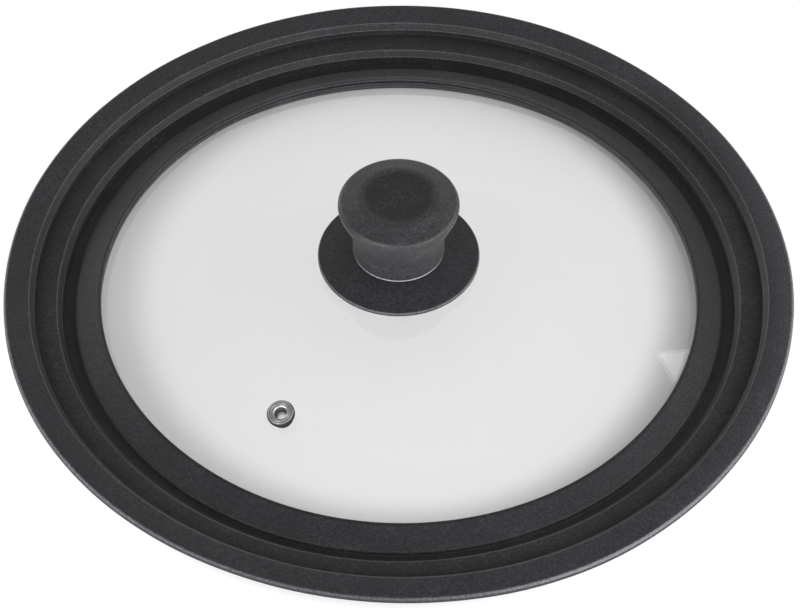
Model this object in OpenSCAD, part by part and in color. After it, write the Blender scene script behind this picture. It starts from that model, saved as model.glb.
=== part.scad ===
// Domed glass lid for pans of three sizes, with a stepped silicone rim,
// a knob held by one screw from below, and a steel steam vent.
// Millimetres, +Z up, origin on the axis at the foot of the rim.

/* [Pans it fits] */
// Bore of the small pan
pan_small_d = 240; // [200:1:280]
// Difference in bore from one pan to the next
pan_pitch = 20; // [17:0.5:26]
// Radial gap between a step of the rim and its pan
pan_gap = 1.3; // [0.6:0.1:2]

/* [Silicone rim] */
// How far the flange reaches past the bore of the large pan
flange_reach = 8; // [6:0.5:12]
// Rise from one tread to the next
step_h = 4.6; // [4:0.1:6]
// Thickness of the treads and of the flange
tread_t = 2.6; // [2:0.1:3.5]
// Thickness of the upright walls between the treads
wall_t = 2.3; // [1.8:0.1:3]
// Width of the bevel along the top of each wall
bevel_w = 1.7; // [0.8:0.1:2.5]
// Height of the bevel along the top of each wall
bevel_h = 1.5; // [0.8:0.1:2.5]
// Height of the skirt that hangs below the lowest tread
drop_h = 4.7; // [3:0.1:8]
// Thickness of that skirt
drop_t = 3; // [2:0.1:3.5]
// Thickness of the lip over the glass
upper_lip_t = 1.3; // [0.8:0.1:2]
// Thickness of the lip under the glass
lower_lip_t = 1.8; // [1:0.1:2.4]
// How far the upper lip reaches in from the edge of the glass
lip_cover = 6.5; // [5:0.5:10]
// How much further in the lower lip reaches
lip_step = 1.5; // [0.5:0.1:2.5]
// Silicone left outside the edge of the glass
edge_cover = 2.7; // [1.5:0.1:3.5]
// Depth of the upper lip's edge below the top of the flange
lip_drop = 3.5; // [2.5:0.1:4.5]
// Small chamfer on the rim's outer corners
rim_chamfer = 0.5; // [0.2:0.1:0.8]

/* [Glass] */
// How far the edge of the glass lies inside the bore of the small pan
glass_inset = 1.5; // [1:0.1:4]
// Thickness of the glass
glass_t = 4; // [3:0.5:4.5]
// Radius of the dome's outer face
dome_r = 285; // [240:5:400]
// Diameter of the hole for the knob's screw
glass_screw_hole_d = 8.4; // [7.5:0.1:10]
// Diameter of the hole for the vent
glass_vent_hole_d = 6.6; // [6.4:0.1:7.2]

/* [Knob] */
// Diameter of the knob's stem
stem_d = 34; // [31:0.5:38]
// Diameter of the knob at its widest
cap_d = 44.8; // [41:0.2:56]
// Height of the knob
knob_h = 28.4; // [26:0.2:36]
// Height at which the stem starts to flare
flare_start_h = 5.8; // [3:0.2:8]
// Pull of the stem's end of the flare
flare_low_pull = 7; // [4:0.5:9]
// Pull of the cap's end of the flare
flare_high_pull = 2; // [1:0.5:4]
// Radius of the edge round the cap
cap_edge_r = 1.6; // [1:0.1:2.5]
// Fall of the shoulder from the flat top, in degrees
shoulder_fall = 20; // [12:1:26]
// Diameter of the shallow dish in the top
dish_d = 28; // [22:0.5:32]
// Depth of that dish
dish_depth = 0.5; // [0.2:0.1:1]
// Thickness of the soft skin
skin_t = 1.5; // [1:0.1:2]
// Wall of the core inside the stem
core_wall_t = 2.4; // [1.6:0.1:3]
// Thickness of the core's roof
core_roof_t = 4.6; // [3:0.1:6]
// Diameter of the boss round the insert
boss_d = 13; // [11:0.5:16]
// Thickness of the core's ribs
rib_t = 1.8; // [1.2:0.1:3]
// Number of the core's ribs
rib_count = 6; // [3:1:8]
// Height of the ribs' ends above the ring that centres the knob
rib_rise = 1.3; // [0.8:0.1:3]
// Depth of the clear hole above the insert
relief_h = 2.5; // [1.5:0.1:3]
// Chamfer round the foot
foot_chamfer = 0.5; // [0.3:0.1:0.8]

/* [Base disc] */
// Diameter of the disc under the knob
skirt_d = 60; // [52:1:76]
// Thickness of the disc outside its hub
skirt_t = 1.4; // [1:0.1:2]
// Gap between the edge of the disc and the glass
skirt_gap = 0.35; // [0.2:0.05:0.8]
// Thickness of the disc's hub
hub_t = 2; // [1.6:0.1:3]
// How far the knob's foot overhangs the hub
foot_overhang = 0.8; // [0.4:0.1:1.2]
// Drop from the hub's face to the crown beside it
hub_step = 0.5; // [0.3:0.1:1]
// Height of the ring that centres the knob
spigot_h = 1.2; // [0.8:0.1:2]
// Thickness of that ring
spigot_t = 1.8; // [1:0.1:2.4]

/* [Screw and washers] */
// Thread diameter
screw_d = 5; // [4:0.5:6]
// Diameter of the screw's head
screw_head_d = 9.5; // [8.5:0.1:11]
// Height of the screw's head
screw_head_h = 3.2; // [2.6:0.1:4]
// Radius of the round on the head
screw_head_round = 1.6; // [1:0.1:2]
// Length of the arms of the cross recess
recess_l = 5; // [4:0.2:6]
// Width of the arms of the cross recess
recess_w = 1.1; // [0.9:0.1:1.4]
// Depth of the cross recess
recess_h = 2; // [1.4:0.1:2.4]
// Chamfer at the tip of the screw
tip_chamfer = 0.6; // [0.3:0.1:0.8]
// Length of the threaded insert
insert_l = 12; // [9:0.5:13]
// Height of the insert above the knob's foot
insert_recess = 2.3; // [2:0.1:4]
// Outer diameter of the insert
insert_d = 8; // [7.5:0.1:9]
// Width of the insert's two grooves
groove_w = 1.6; // [1:0.1:2]
// Depth of the insert's two grooves
groove_depth = 0.5; // [0.3:0.1:0.7]
// Thickness of the gasket under the base disc
skirt_gasket_t = 1; // [0.8:0.1:1.5]
// Diameter of that gasket
skirt_gasket_d = 30; // [22:1:32]
// Thickness of the bush's flange under the glass
bush_flange_t = 1.5; // [1:0.1:2]
// Diameter of the bush's flange
bush_flange_d = 19; // [15:0.5:24]
// Thickness of the flat washer
washer_t = 1; // [0.8:0.1:1.6]
// Diameter of the flat washer
washer_d = 15; // [12:0.5:18]
// Thickness of the spring washer
spring_t = 1.2; // [1:0.1:1.6]
// Diameter of the spring washer
spring_d = 9.2; // [8.6:0.1:10]
// Width of the split in the spring washer
split_w = 0.8; // [0.5:0.1:1.2]
// Slant of that split, in degrees
split_slant = 30; // [15:5:40]

/* [Steam vent] */
// Distance of the vent from the lid's axis
vent_radius = 80.5; // [50:0.5:95]
// Direction of the vent round the axis, in degrees
vent_azimuth = -122; // [-180:1:180]
// Diameter of the eyelet's flange
vent_flange_d = 9.7; // [9.3:0.1:12]
// Height of the eyelet's flange
vent_flange_h = 1.1; // [0.8:0.1:1.4]
// Diameter of the eyelet's tube
vent_tube_d = 5; // [4.7:0.1:5.3]
// Diameter of the steam hole
vent_bore_d = 3.4; // [2.8:0.1:3.8]
// Diameter of the middle of the rolled bead round the mouth
vent_bead_d = 6.4; // [6:0.1:7]
// Radius of that bead
vent_bead_r = 0.42; // [0.3:0.02:0.46]
// Depth of the funnel from the flange's face down to the steam hole
vent_funnel_h = 3; // [2.4:0.1:3.6]
// Wall of the tube where the funnel leaves the flange
vent_wall_t = 0.4; // [0.3:0.05:0.5]
// Thickness of the gasket on top of the glass
vent_gasket_t = 0.9; // [0.5:0.1:1.2]
// Diameter of that gasket
vent_gasket_d = 10.3; // [9.8:0.1:13]
// Thickness of the gasket under the glass
vent_under_t = 0.4; // [0.3:0.1:0.8]
// Thickness of the washer behind it
vent_washer_t = 0.4; // [0.3:0.1:0.8]
// Diameter of that washer
vent_washer_d = 8; // [7.6:0.1:9.4]
// Height of the tube's rolled end
vent_roll_h = 0.6; // [0.4:0.1:1]
// Diameter of the tube's rolled end
vent_roll_d = 6.8; // [6.2:0.1:7.4]

/* [Fits] */
// Radial clearance of the screw in its insert
thread_gap = 0.05; // [0.02:0.01:0.09]
// Radial clearance of the screw in holes that it passes through
passing_gap = 0.3; // [0.2:0.05:0.5]
// Clearance of the soft skin over the base disc
skin_gap = 0.3; // [0.2:0.05:0.5]
// Radial clearance of a gasket on the tube or in the glass
gasket_gap = 0.1; // [0.05:0.01:0.2]

/* [Hidden] */

$fn = 144;
// Facets of the great circles of the dome and of the base disc's crown
dome_fn = 360;
// Overlap of a cut past the face that it leaves through
cut = 1;

// Levels of the rim: undersides and tops of the three treads, from the lowest up
under_z = [for (i = [0 : 2]) drop_h + i * step_h];
top_z = [for (z = under_z) z + tread_t];
// Bores of the three pans, outer faces of the steps, and faces of the walls above the treads
pan_r = [for (i = [0 : 2]) (pan_small_d + i * pan_pitch) / 2];
step_r = [for (r = pan_r) r - pan_gap];
wall_r = [for (r = step_r) r - wall_t];
flange_r = pan_r[2] + flange_reach;

// Dome: the glass's outer face passes just under the edge of the upper lip
glass_r = pan_r[0] - glass_inset;
lip_r = glass_r - lip_cover;
low_lip_r = lip_r - lip_step;
dome_cz = top_z[2] - lip_drop - upper_lip_t - sqrt(dome_r ^ 2 - lip_r ^ 2);
glass_top_z = dome_cz + dome_r;
glass_under_z = glass_top_z - glass_t;
dome_in_r = dome_r - glass_t;
glass_mid_r = dome_r - glass_t / 2;
// Height of a face that runs parallel to the dome at radius big
function dome_z(r, big) = dome_cz + sqrt(big ^ 2 - r ^ 2);
// The edge of the glass is a half round at its own middle
edge_angle = asin((glass_r - glass_t / 2) / glass_mid_r);
hump_r = glass_r + edge_cover;

// Stack on the screw, up from the glass
hub_under_z = glass_top_z + skirt_gasket_t;
foot_z = hub_under_z + hub_t;
hub_r = stem_d / 2 - foot_overhang;
// The disc's crown is the sphere through the hub's edge and the disc's own edge
crown_a = [hub_r, foot_z - hub_step];
crown_b = [skirt_d / 2, dome_z(skirt_d / 2, dome_r) + skirt_gap + skirt_t];
crown_cz = (crown_b * crown_b - crown_a * crown_a) / 2 / (crown_b[1] - crown_a[1]);
crown_r = norm(crown_a - [0, crown_cz]);
core_bore_r = stem_d / 2 - skin_t - core_wall_t;
spigot_r = core_bore_r - passing_gap;
// Stack on the screw, down from the glass
bush_under_z = glass_under_z - bush_flange_t;
washer_under_z = bush_under_z - washer_t;
head_top_z = washer_under_z - spring_t;
screw_r = screw_d / 2;
pass_r = screw_r + passing_gap;
insert_z = foot_z + insert_recess;
// The screw ends level with the top of the insert
tip_z = insert_z + insert_l;
screw_l = tip_z - head_top_z;
rib_z = foot_z + spigot_h + rib_rise;

// Knob: heights above its foot
cap_edge_top_h = knob_h - (cap_d / 2 - cap_edge_r + cap_edge_r * sin(shoulder_fall) - dish_d / 2)
                 * tan(shoulder_fall);
cap_h = cap_edge_top_h - cap_edge_r * cos(shoulder_fall);

// Vent, measured from the glass's outer face along the dome's normal
vent_tilt = asin(vent_radius / dome_r);
// A flat gasket under the dome touches it at its rim, this far below its middle
vent_under_sag = dome_in_r - sqrt(dome_in_r ^ 2 - (vent_washer_d / 2) ^ 2);
vent_under_z = -glass_t - vent_under_sag;
vent_washer_z = vent_under_z - vent_under_t;
vent_roll_z = vent_washer_z - vent_washer_t;

function bezier(p, n) = [for (i = [0 : n]) let (t = i / n)
    (1 - t) ^ 3 * p[0] + 3 * (1 - t) ^ 2 * t * p[1] + 3 * (1 - t) * t ^ 2 * p[2] + t ^ 3 * p[3]];
function arc(c, r, a0, a1, n) = [for (i = [0 : n]) let (a = a0 + (a1 - a0) * i / n)
    c + r * [cos(a), sin(a)]];

// Half section of the knob, its faces moved in by inset
function knob_outline(inset, bottom_h) =
    let (sr = stem_d / 2 - inset, cr = cap_d / 2 - inset, er = max(cap_edge_r - inset, 0.2),
         dr = dish_d / 2, top = knob_h - inset)
    concat([[0, bottom_h], [sr - foot_chamfer, bottom_h], [sr, bottom_h + foot_chamfer]],
           bezier([[sr, flare_start_h], [sr, flare_start_h + flare_low_pull],
                   [cr, cap_h - flare_high_pull], [cr, cap_h]], 14),
           arc([cr - er, cap_h], er, 10, 90 - shoulder_fall, 5),
           [[dr, top], [dr - dish_depth, top - dish_depth], [0, top - dish_depth]]);

module at_vent() {
    translate([0, 0, dome_cz]) rotate([0, 0, vent_azimuth]) rotate([0, vent_tilt, 0])
        translate([0, 0, dome_r]) children();
}

// A flat ring from height z up, turned about the axis
module ring(outer_r, inner_r, h, z = 0) {
    translate([0, 0, z]) difference() {
        cylinder(r = outer_r, h = h);
        translate([0, 0, -cut]) cylinder(r = inner_r, h = h + 2 * cut);
    }
}

// Half section of the dome between two radii of its sphere
module dome_section(outer, inner) {
    translate([0, dome_cz]) difference() {
        circle(r = outer, $fn = dome_fn);
        circle(r = inner, $fn = dome_fn);
    }
}

// Half section of the glass, from the screw hole to its half-round edge
module glass_section() {
    reach = 2 * dome_r;
    difference() {
        union() {
            intersection() {
                dome_section(dome_r, dome_in_r);
                translate([0, dome_cz])
                    polygon([[0, 0], [reach * sin(edge_angle), reach * cos(edge_angle)], [0, reach]]);
            }
            translate([glass_mid_r * sin(edge_angle), dome_cz + glass_mid_r * cos(edge_angle)])
                circle(r = glass_t / 2, $fn = 48);
        }
        translate([-reach, -reach]) square([reach + glass_screw_hole_d / 2, 2 * reach]);
    }
}

module glass_dome() {
    color([0.86, 0.89, 0.9, 0.45]) difference() {
        rotate_extrude() glass_section();
        at_vent() translate([0, 0, -glass_t - cut])
            cylinder(d = glass_vent_hole_d, h = glass_t + 2 * cut);
    }
}

// Stepped silicone ring: three treads outside, a channel for the glass inside
module rim_outline() {
    c = rim_chamfer;
    drop_r = step_r[0] - drop_t;
    polygon([
        [flange_r - c, top_z[2]], [flange_r, top_z[2] - c],
        [flange_r, under_z[2] + c], [flange_r - c, under_z[2]],
        [step_r[2], under_z[2]], [step_r[2], under_z[1] + c], [step_r[2] - c, under_z[1]],
        [step_r[1], under_z[1]], [step_r[1], under_z[0] + c], [step_r[1] - c, under_z[0]],
        [step_r[0], under_z[0]], [step_r[0], c], [step_r[0] - c, 0],
        [drop_r + c, 0], [drop_r, c],
        [drop_r, dome_z(drop_r, dome_in_r - lower_lip_t)],
        [low_lip_r, dome_z(low_lip_r, dome_in_r - lower_lip_t)],
        [low_lip_r, dome_z(low_lip_r, glass_mid_r)], [lip_r, dome_z(lip_r, glass_mid_r)],
        [lip_r, dome_z(lip_r, dome_r + upper_lip_t)],
        [hump_r, dome_z(hump_r, dome_r + upper_lip_t)], [hump_r, top_z[0]],
        [wall_r[1], top_z[0]], [wall_r[1], top_z[1] - bevel_h], [wall_r[1] + bevel_w, top_z[1]],
        [wall_r[2], top_z[1]], [wall_r[2], top_z[2] - bevel_h], [wall_r[2] + bevel_w, top_z[2]]]);
}

module rim_seal() {
    color([0.2, 0.2, 0.21]) rotate_extrude() difference() {
        rim_outline();
        glass_section();
    }
}

// Shallow crowned disc with a flat hub and a ring that centres the knob
module knob_skirt() {
    color([0.17, 0.17, 0.18]) rotate_extrude() {
        intersection() {
            translate([0, crown_cz]) difference() {
                circle(r = crown_r, $fn = dome_fn);
                circle(r = crown_r - skirt_t, $fn = dome_fn);
            }
            translate([hub_r - skirt_t, 0]) square([skirt_d / 2 - hub_r + skirt_t, foot_z]);
        }
        translate([pass_r, hub_under_z]) square([hub_r - pass_r, hub_t]);
        translate([spigot_r - spigot_t, hub_under_z]) square([spigot_t, hub_t + spigot_h]);
    }
}

// Silicone disc between the glass and the base disc, its lower face domed as the glass
module skirt_gasket() {
    gasket_r = skirt_gasket_d / 2;
    color([0.25, 0.25, 0.26]) rotate_extrude() polygon(concat(
        arc([0, dome_cz], dome_r, 90 - asin(gasket_r / dome_r), 90 - asin(pass_r / dome_r), 6),
        [[pass_r, hub_under_z], [gasket_r, hub_under_z]]));
}

// Silicone bush: a flange under the glass and a sleeve in its hole
module screw_bush() {
    sleeve_r = glass_screw_hole_d / 2 - gasket_gap;
    color([0.25, 0.25, 0.26]) rotate_extrude() {
        intersection() {
            translate([pass_r, bush_under_z]) square([bush_flange_d / 2 - pass_r, bush_flange_t]);
            translate([0, dome_cz]) circle(r = dome_in_r, $fn = dome_fn);
        }
        translate([pass_r, bush_under_z])
            square([sleeve_r - pass_r, dome_z(glass_screw_hole_d / 2, dome_r) - bush_under_z]);
    }
}

module backing_washer() {
    color("silver") ring(washer_d / 2, pass_r, washer_t, washer_under_z);
}

// Sprung washer with a slanted split
module spring_washer() {
    color("silver") difference() {
        ring(spring_d / 2, screw_r + passing_gap / 2, spring_t, head_top_z);
        translate([cut, -split_w / 2, head_top_z + spring_t / 2]) rotate([split_slant, 0, 0])
            translate([0, 0, -2 * spring_t]) cube([spring_d / 2, split_w, 4 * spring_t]);
    }
}

// Pan-head screw, its cross recess facing down
module knob_screw() {
    head_r = screw_head_d / 2;
    er = screw_head_round;
    color("silver") difference() {
        rotate_extrude() polygon(concat(
            [[0, head_top_z - screw_head_h]],
            arc([head_r - er, head_top_z - screw_head_h + er], er, -90, 0, 6),
            [[head_r, head_top_z], [screw_r, head_top_z], [screw_r, tip_z - tip_chamfer],
             [screw_r - tip_chamfer, tip_z], [0, tip_z]]));
        for (turn = [0, 90])
            rotate([0, 0, turn]) translate([0, 0, head_top_z - screw_head_h + recess_h / 2 - cut / 2])
                cube([recess_l, recess_w, recess_h + cut], center = true);
    }
}

// Brass insert with two grooves that the core grips
module insert_body() {
    difference() {
        translate([0, 0, insert_z]) cylinder(d = insert_d, h = insert_l);
        for (h = [insert_l / 3, insert_l * 2 / 3])
            ring(insert_d / 2 + cut, insert_d / 2 - groove_depth, groove_w, insert_z + h - groove_w / 2);
    }
}

module thread_insert() {
    color([0.78, 0.65, 0.35]) difference() {
        insert_body();
        translate([0, 0, insert_z - cut]) cylinder(r = screw_r + thread_gap, h = insert_l + 2 * cut);
    }
}

// Nylon core: hollow from below, with ribs and a boss moulded round the insert
module knob_core() {
    roof_z = foot_z + knob_h - dish_depth - skin_t - core_roof_t;
    color([0.12, 0.12, 0.12]) difference() {
        union() {
            difference() {
                translate([0, 0, foot_z]) rotate_extrude() polygon(knob_outline(skin_t, 0));
                translate([0, 0, foot_z - cut]) cylinder(r = core_bore_r, h = roof_z - foot_z + cut);
            }
            translate([0, 0, insert_z]) cylinder(d = boss_d, h = roof_z - insert_z + cut);
            for (i = [0 : rib_count - 1])
                rotate([0, 0, i * 360 / rib_count]) translate([0, -rib_t / 2, rib_z])
                    cube([core_bore_r + core_wall_t / 2, rib_t, roof_z - rib_z + cut]);
        }
        insert_body();
        translate([0, 0, insert_z - cut]) cylinder(r = pass_r, h = insert_l + cut + relief_h);
    }
}

// Soft skin moulded over the core
module knob_grip() {
    color([0.22, 0.22, 0.23]) translate([0, 0, foot_z]) difference() {
        rotate_extrude() polygon(knob_outline(0, skin_gap));
        rotate_extrude() polygon(knob_outline(skin_t, 0));
    }
}

// Steel eyelet: a flange, a bead and a funnel on top, a tube through the glass, its end rolled out
module vent_eyelet() {
    fr = vent_flange_d / 2;
    tr = vent_tube_d / 2;
    br = vent_bore_d / 2;
    rr = vent_roll_d / 2;
    flange_z = vent_gasket_t + vent_flange_h;
    end_z = vent_roll_z - vent_roll_h;
    c = vent_roll_h / 3;
    color([0.8, 0.8, 0.82]) at_vent() rotate_extrude() polygon(concat(
        [[tr, vent_roll_z], [rr - c, vent_roll_z], [rr, vent_roll_z - c], [rr, end_z + c],
         [rr - c, end_z], [br, end_z], [br, flange_z - vent_funnel_h], [tr - vent_wall_t, vent_gasket_t]],
        arc([vent_bead_d / 2, flange_z], vent_bead_r, 180, 0, 8),
        [[fr - c, flange_z], [fr, flange_z - c], [fr, vent_gasket_t], [tr, vent_gasket_t]]));
}

// Silicone gasket on top of the glass, with a sleeve that lines the hole
module vent_gasket() {
    tr = vent_tube_d / 2 + gasket_gap / 2;
    color([0.15, 0.15, 0.15]) at_vent() {
        ring(vent_gasket_d / 2, tr, vent_gasket_t);
        ring(glass_vent_hole_d / 2 - gasket_gap, tr, glass_t + vent_gasket_t, -glass_t);
    }
}

module vent_under_gasket() {
    color([0.15, 0.15, 0.15]) at_vent()
        ring(vent_washer_d / 2, vent_tube_d / 2 + gasket_gap, vent_under_t, vent_washer_z);
}

module vent_back_washer() {
    color([0.8, 0.8, 0.82]) at_vent()
        ring(vent_washer_d / 2, vent_tube_d / 2 + gasket_gap, vent_washer_t, vent_roll_z);
}

glass_dome();
rim_seal();
knob_skirt();
skirt_gasket();
screw_bush();
backing_washer();
spring_washer();
knob_screw();
knob_core();
knob_grip();
thread_insert();
vent_eyelet();
vent_gasket();
vent_under_gasket();
vent_back_washer();
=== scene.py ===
import bmesh
import bpy
import numpy as np
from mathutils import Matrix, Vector


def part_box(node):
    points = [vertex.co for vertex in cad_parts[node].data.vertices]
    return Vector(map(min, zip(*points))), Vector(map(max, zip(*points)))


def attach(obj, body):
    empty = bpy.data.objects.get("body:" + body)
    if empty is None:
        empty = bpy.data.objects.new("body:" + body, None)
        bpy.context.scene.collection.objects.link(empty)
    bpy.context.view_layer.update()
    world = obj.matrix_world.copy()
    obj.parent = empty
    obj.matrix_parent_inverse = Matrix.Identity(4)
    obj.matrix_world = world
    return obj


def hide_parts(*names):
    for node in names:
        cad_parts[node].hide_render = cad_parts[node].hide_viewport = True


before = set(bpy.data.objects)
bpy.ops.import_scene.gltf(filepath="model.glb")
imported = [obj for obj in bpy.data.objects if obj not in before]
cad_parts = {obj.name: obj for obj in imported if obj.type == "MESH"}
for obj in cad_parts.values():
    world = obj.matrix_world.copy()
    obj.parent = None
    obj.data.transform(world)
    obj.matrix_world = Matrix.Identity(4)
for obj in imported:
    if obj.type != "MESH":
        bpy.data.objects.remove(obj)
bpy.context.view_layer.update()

# ---- Silicone rim -------------------------------------------------------------------
# One black silicone moulding, pulled over the edge of the glass. Its three treads rest on
# pans of three sizes; every edge is a small round, because the mould is machined that way,
# and the soft wide flange never lies quite flat again once it has been handled.
MM = 0.001  # sizes are in millimetres from here on, and surface() brings them to metres
STEP_R, UNDER_Z = [118.7, 128.7, 138.7], [4.7, 9.3, 13.9]
WALL_R, TOP_Z = [126.0, 136.4], [7.3, 12.3, 16.5]
BEVEL_W, BEVEL_H = 1.9, 1.95
FLANGE_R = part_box("rim_seal")[1][0] / MM
DROP_R, LIP_R, LOW_LIP_R, HUMP_R, HUMP_ROUND = 115.7, 112, 110.9, 121.2, 1.4
UPPER_LIP_T, LOWER_LIP_T, CHAMFER_W, CHAMFER_H = 1.3, 1.8, 1.35, 0.22
SEAT_R, GAP = 118, 0.02
GLASS_R, GLASS_T, GLASS_TOP_R, SCREW_HOLE_R = 118.5, 4, 285, 4.2
GLASS_MID_R, GLASS_IN_R = GLASS_TOP_R - GLASS_T / 2, GLASS_TOP_R - GLASS_T
DOME_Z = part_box("glass_dome")[1][2] / MM - np.sqrt(GLASS_TOP_R**2 - SCREW_HOLE_R**2)
EDGE_ANGLE = np.arcsin((GLASS_R - GLASS_T / 2) / GLASS_MID_R)


def dome_z(r, big):
    """Height, at radius r from the axis, of the sphere of radius big that the dome is part of."""
    return DOME_Z + np.sqrt(big**2 - np.square(r))


def rounded(corners, steps=5):
    """Closed outline from corners (r, z, radius): an arc of that radius touches both sides of each
    corner, and its points turn evenly from one touching point to the other. Straight points up to
    0.12 mm past both ends of an arc bound it. The third column is 1 where a corner juts out, by the
    sine of its turn, and 0 elsewhere: it marks the edge for rubbing and a painted highlight."""
    c = np.asarray(corners, float)
    p, r = c[:, :2], c[:, 2:]
    back, on = np.roll(p, 1, 0) - p, np.roll(p, -1, 0) - p
    back /= np.linalg.norm(back, axis=1, keepdims=True)
    on /= np.linalg.norm(on, axis=1, keepdims=True)
    half = np.arccos(np.clip((back * on).sum(1, keepdims=True), -1, 1)) / 2
    inward = (back + on) / np.maximum(np.linalg.norm(back + on, axis=1, keepdims=True), 1e-9)
    middle = p + inward * r / np.sin(half)
    first, last = p + back * r / np.tan(half), p + on * r / np.tan(half)
    sweep = np.maximum(np.pi - 2 * half, 1e-6)[:, None]
    t = np.linspace(0, 1, steps + 1)[None, :, None]
    leaving, coming = np.sin((1 - t) * sweep), np.sin(t * sweep)
    arc = (leaving * (first - middle)[:, None] + coming * (last - middle)[:, None]) / np.sin(sweep)
    free = np.linalg.norm(np.roll(first, -1, 0) - last, axis=1, keepdims=True)
    before = first + back * np.minimum(0.12, 0.4 * np.roll(free, 1, 0))
    after = last + on * np.minimum(0.12, 0.4 * free)
    turn = on[:, 0] * back[:, 1] - on[:, 1] * back[:, 0]
    way = np.sign((p[:, 0] * np.roll(p[:, 1], -1) - np.roll(p[:, 0], -1) * p[:, 1]).sum())
    wear_and_painted_highlight = np.clip(turn * way * 1.3, 0, 1)[:, None] * (r > 0)
    points = np.concatenate([before[:, None], middle[:, None] + arc, after[:, None]], 1)
    wear_and_painted_highlight = np.repeat(wear_and_painted_highlight[:, None] * 1.0, steps + 3, 1)
    wear_and_painted_highlight[:, [0, -1]] = 0
    outline = np.concatenate([points, wear_and_painted_highlight], -1).reshape(-1, 3)
    return outline[np.linalg.norm((outline - np.roll(outline, -1, 0))[:, :2], axis=1) > 0.01]


def densified(outline, step):
    """The same closed outline with points added evenly along each side, none longer than step."""
    p = np.asarray(outline, float)
    q = np.roll(p, -1, 0)
    n = np.maximum(np.ceil(np.linalg.norm((q - p)[:, :2], axis=1) / step).astype(int), 1)
    k = np.repeat(np.arange(len(p)), n)
    t = (np.arange(len(k)) - np.repeat(np.cumsum(n) - n, n)) / n[k]
    return p[k] + (q[k] - p[k]) * t[:, None]


def surface(name, points, faces, sharp=40, marks_and_painted_light=0):
    """A mesh object from whole arrays of points, in mm, and of faces. Points in one place are
    welded, faces point outwards, two faces that meet at more than sharp degrees make a crease, and
    an attribute keeps a mark for each point: above 0 it adds rubbing, dust and painted highlights,
    below 0 it darkens, mostly by painted shade."""
    mesh = bpy.data.meshes.new(name)
    mesh.from_pydata(points * MM, [], faces)
    mark = mesh.attributes.new("marks_and_painted_light", "FLOAT", "POINT")
    mark.data.foreach_set("value", np.broadcast_to(marks_and_painted_light, len(points)).astype(np.float32))
    work = bmesh.new()
    work.from_mesh(mesh)
    bmesh.ops.remove_doubles(work, verts=work.verts, dist=1e-6)
    bmesh.ops.recalc_face_normals(work, faces=work.faces)
    work.to_mesh(mesh)
    work.free()
    mesh.shade_smooth()
    mesh.set_sharp_from_angle(angle=np.radians(sharp))
    piece = bpy.data.objects.new(name, mesh)
    bpy.context.collection.objects.link(piece)
    return piece


def turned(name, outline, turns, shape=None, sharp=40):
    """Surface of revolution of a closed outline: its point (r, z) at angle a lies at
    (r cos a, r sin a, z). shape may then bend the whole grid of points."""
    p = np.asarray(outline, float)
    a = np.arange(turns) * 2 * np.pi / turns
    x, y = np.outer(p[:, 0], np.cos(a)), np.outer(p[:, 0], np.sin(a))
    grid = np.stack([x, y, np.repeat(p[:, 1:2], turns, 1)], -1)
    grid = shape(grid) if shape else grid
    i, j = np.meshgrid(np.arange(len(p)), np.arange(turns), indexing="ij")
    up, right = (i + 1) % len(p), (j + 1) % turns
    quads = np.stack([i * turns + j, i * turns + right, up * turns + right, up * turns + j], -1)
    marks_and_painted_light = np.repeat(p[:, 2], turns) if p.shape[1] > 2 else 0
    return surface(name, grid.reshape(-1, 3), quads.reshape(-1, 4).tolist(), sharp, marks_and_painted_light)


def waves(a, *terms):
    """Sum of waves round the axis, each (height, waves in a turn, phase): height times the sine of
    the angle a times the waves, plus the phase."""
    return sum(height * np.sin(count * a + phase) for height, count, phase in terms)


def handled(grid):
    """The flange droops and bulges a little: its height and radius follow a few long waves
    round the rim, which fade to nothing at the glass. The soft upper lip has crept inwards
    and a little oval over the glass, by a few waves too, and that fades outwards."""
    x, y, z = np.moveaxis(grid, -1, 0)
    r, a = np.hypot(x, y), np.arctan2(y, x)
    free = np.clip((r - HUMP_R) / (FLANGE_R - HUMP_R), 0, 1) ** 2
    shrunk = 0.27 - waves(a, (0.11, 2, -2.3), (-0.09, 3, 0), (0.04, 11, 1), (0.02, 23, 0))
    droop = waves(
        a, (1.08, 1, -0.47), (0.6, 2, -0.62), (0.42, 3, 1.4), (0.46, 4, 2.83), (0.06, 9, 2.6)) - 0.2
    creep = 1.22 - waves(a, (0.25, 1, 0.84), (0.51, 2, 2.42), (0.2, 3, -2.39), (0.22, 4, np.pi / 2))
    over_glass = z > dome_z(np.minimum(r, SEAT_R), GLASS_TOP_R) - 0.1
    r = r - free * shrunk - np.clip((SEAT_R - r) / 5, 0, 1) * over_glass * creep
    return np.stack([r * np.cos(a), r * np.sin(a), z + free * droop], -1)


def on_sphere(big, *places):
    """Outline corners on the dome's sphere of radius big; each place is (r, rounding)."""
    return [(r, dome_z(r, big), round_r) for r, round_r in places]


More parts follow.
